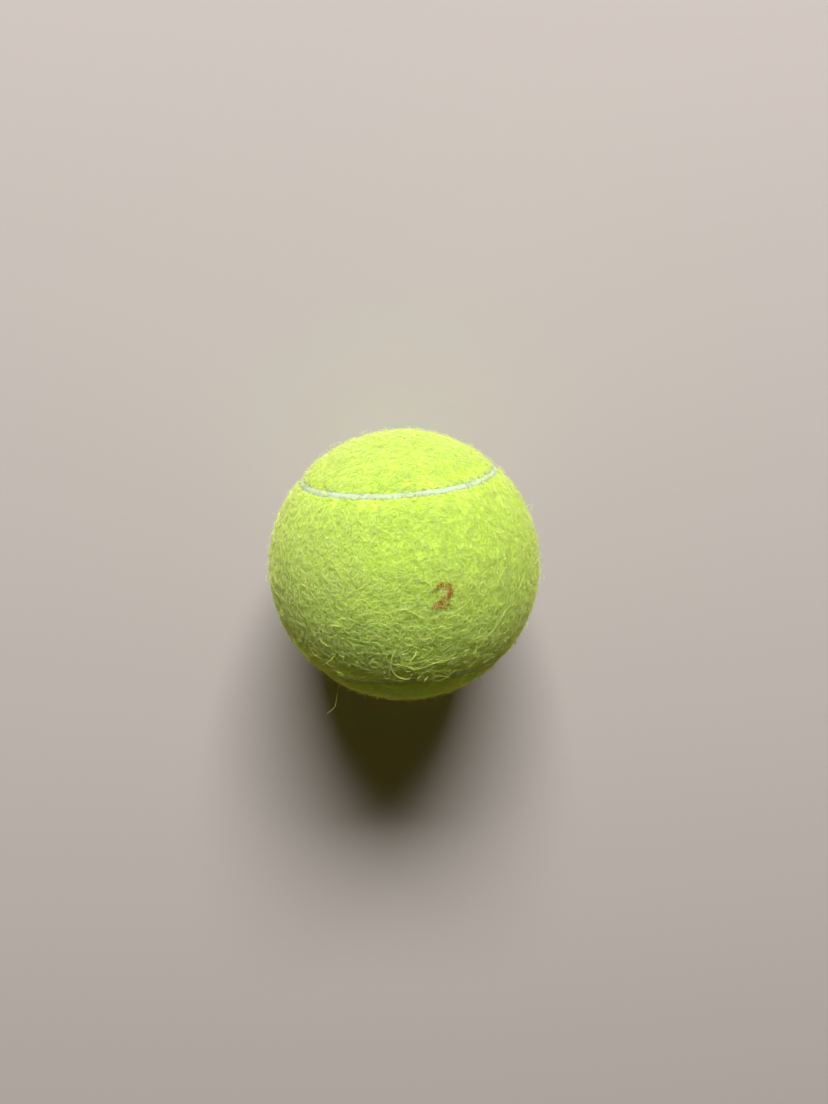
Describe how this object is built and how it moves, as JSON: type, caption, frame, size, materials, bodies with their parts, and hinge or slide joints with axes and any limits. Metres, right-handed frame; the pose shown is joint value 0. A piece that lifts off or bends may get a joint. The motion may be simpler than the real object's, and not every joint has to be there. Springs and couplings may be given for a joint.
{
  "type": "tennis ball",
  "caption": "Hollow rubber ball of bonded half shells, wrapped in dumbbell felt panels that meet along a white rubber seam; bounces and rolls in play.",
  "frame": {"origin": "centre of the ball", "axes": "+Z through the middle of felt panel a's waist, +X towards one of panel a's lobes; felt panel b is centred on -Z with its lobes along Y, and the core's bond lies in the XY plane"},
  "size_m": [0.067, 0.067, 0.067],
  "materials": {
    "core_rubber": "moulded, matt, dark grey filled rubber",
    "bond_adhesive": "cured, satin, brown rubber adhesive",
    "cement": "brushed on, dull, cream rubber cement",
    "felt": "napped wool and nylon felt, fluffy, yellow-green",
    "seam_rubber": "vulcanised, matt, off-white rubber"
  },
  "bodies": {
    "root": {"upper_half_shell": "core_rubber", "lower_half_shell": "core_rubber", "equator_bond": "bond_adhesive", "felt_cement_a": "cement", "felt_cement_b": "cement", "felt_panel_a": "felt", "felt_panel_b": "felt", "seam_rubber": "seam_rubber"}
  },
  "joints": []
}
